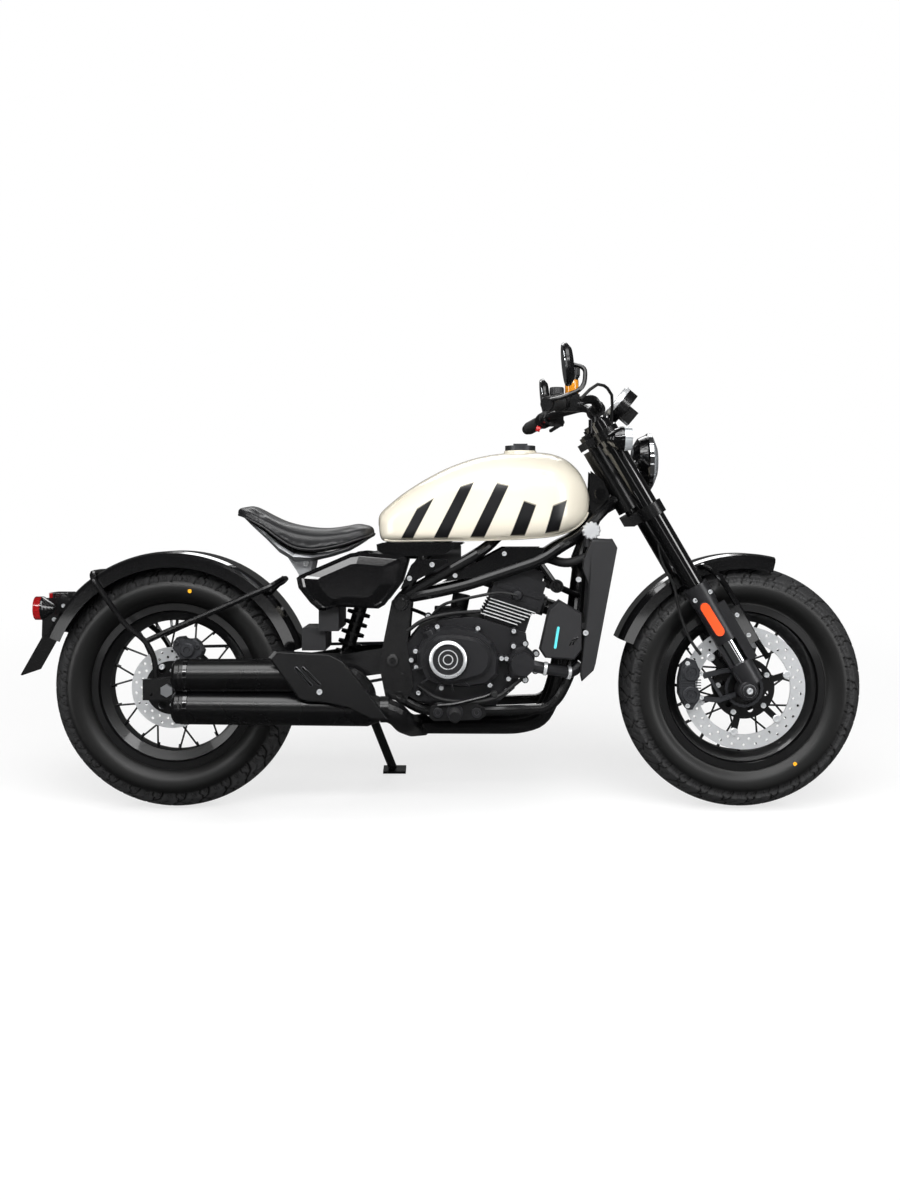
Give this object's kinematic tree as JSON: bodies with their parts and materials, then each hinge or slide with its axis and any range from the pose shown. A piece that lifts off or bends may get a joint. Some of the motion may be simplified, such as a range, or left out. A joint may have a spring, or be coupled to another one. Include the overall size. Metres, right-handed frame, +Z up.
{
  "type": "bobber motorcycle",
  "caption": "Low bobber motorcycle with a slung solo seat, cream striped tank, laced wheels, bobbed fenders and stacked silencers, leaning on its side stand.",
  "frame": {"origin": "on the ground, under the middle of the machine's bounding box, as it leans on its side stand", "axes": "+X towards the front wheel, +Y to the machine's left, +Z up"},
  "size_m": [2.194, 0.8919, 1.2263],
  "materials": {
    "frame_black": "satin black powder coat",
    "gloss_black": "high gloss black enamel",
    "matte_black": "matte moulded plastic",
    "charcoal": "satin charcoal plastic",
    "heat_black": "matte heat-proof paint",
    "cream": "gloss cream enamel with dark stripes",
    "engine_black": "satin black cast aluminium",
    "engine_silver": "black cast aluminium with bright fin edges",
    "steel": "brushed stainless steel",
    "chrome": "hard chrome",
    "leather": "dark grained seat cover",
    "tyre": "road tyre rubber",
    "rubber": "moulded rubber",
    "rim": "gloss black rim with bright spokes",
    "red_lens": "red moulded lens",
    "lamp": "black bucket with clear lens",
    "mirror": "black housing with mirror glass"
  },
  "bodies": {
    "chassis": {"frame": "frame_black", "swingarm": "frame_black", "rear_axle": "steel", "engine_case": "engine_black", "engine_covers": "engine_black", "cylinder_block": "engine_silver", "cylinder_head": "engine_black", "airbox": "matte_black", "radiator": "frame_black", "radiator_shrouds": "charcoal", "headers": "heat_black", "mufflers": "heat_black", "exhaust_shield": "heat_black", "tank": "cream", "side_covers": "gloss_black", "seat_pad": "leather", "seat_pan": "steel", "rear_fender": "gloss_black", "tail_frame": "frame_black", "tail_lights": "red_lens", "foot_controls": "frame_black", "rear_caliper": "engine_black", "chain": "steel"},
    "steering": {"triple_clamps": "frame_black", "fork_tubes": "frame_black", "fork_stanchions": "chrome", "fork_lowers": "frame_black", "front_axle": "steel", "front_fender": "gloss_black", "headlight": "lamp", "front_signals": "lamp", "gauge": "matte_black", "handlebar": "frame_black", "grips": "rubber", "switchgear": "matte_black", "mirrors": "mirror", "front_caliper": "engine_black", "cables": "rubber"},
    "front_wheel": {"front_tyre": "tyre", "front_wheel": "rim", "front_disc": "steel"},
    "rear_wheel": {"rear_tyre": "tyre", "rear_wheel": "rim", "rear_disc": "steel"},
    "side_stand": {"side_stand": "frame_black"},
    "fuel_cap": {"fuel_cap": "steel"}
  },
  "joints": [
    {"name": "steering_turn", "type": "hinge", "parent": "chassis", "child": "steering", "pos_m": [0.51328, -0.06513, 0.73571], "axis": [-0.503, 0.1501, 0.8511], "range_deg": [-35, 35]},
    {"name": "front_wheel_spin", "type": "hinge", "parent": "steering", "child": "front_wheel", "pos_m": [0.782, -0.13944, 0.31431], "axis": [0, 0.9848, -0.1736], "continuous": true},
    {"name": "rear_wheel_spin", "type": "hinge", "parent": "chassis", "child": "rear_wheel", "pos_m": [-0.703, -0.13909, 0.31628], "axis": [0, 0.9848, -0.1736], "continuous": true},
    {"name": "side_stand_fold", "type": "hinge", "parent": "chassis", "child": "side_stand", "pos_m": [-0.203, -0.01598, 0.20826], "axis": [0.0434, 0.911, 0.4102], "range_deg": [0, 99]},
    {"name": "fuel_cap_lift", "type": "hinge", "parent": "chassis", "child": "fuel_cap", "pos_m": [0.244, -0.0316, 0.92587], "axis": [0, 0.9848, -0.1736], "range_deg": [0, 95]}
  ]
}
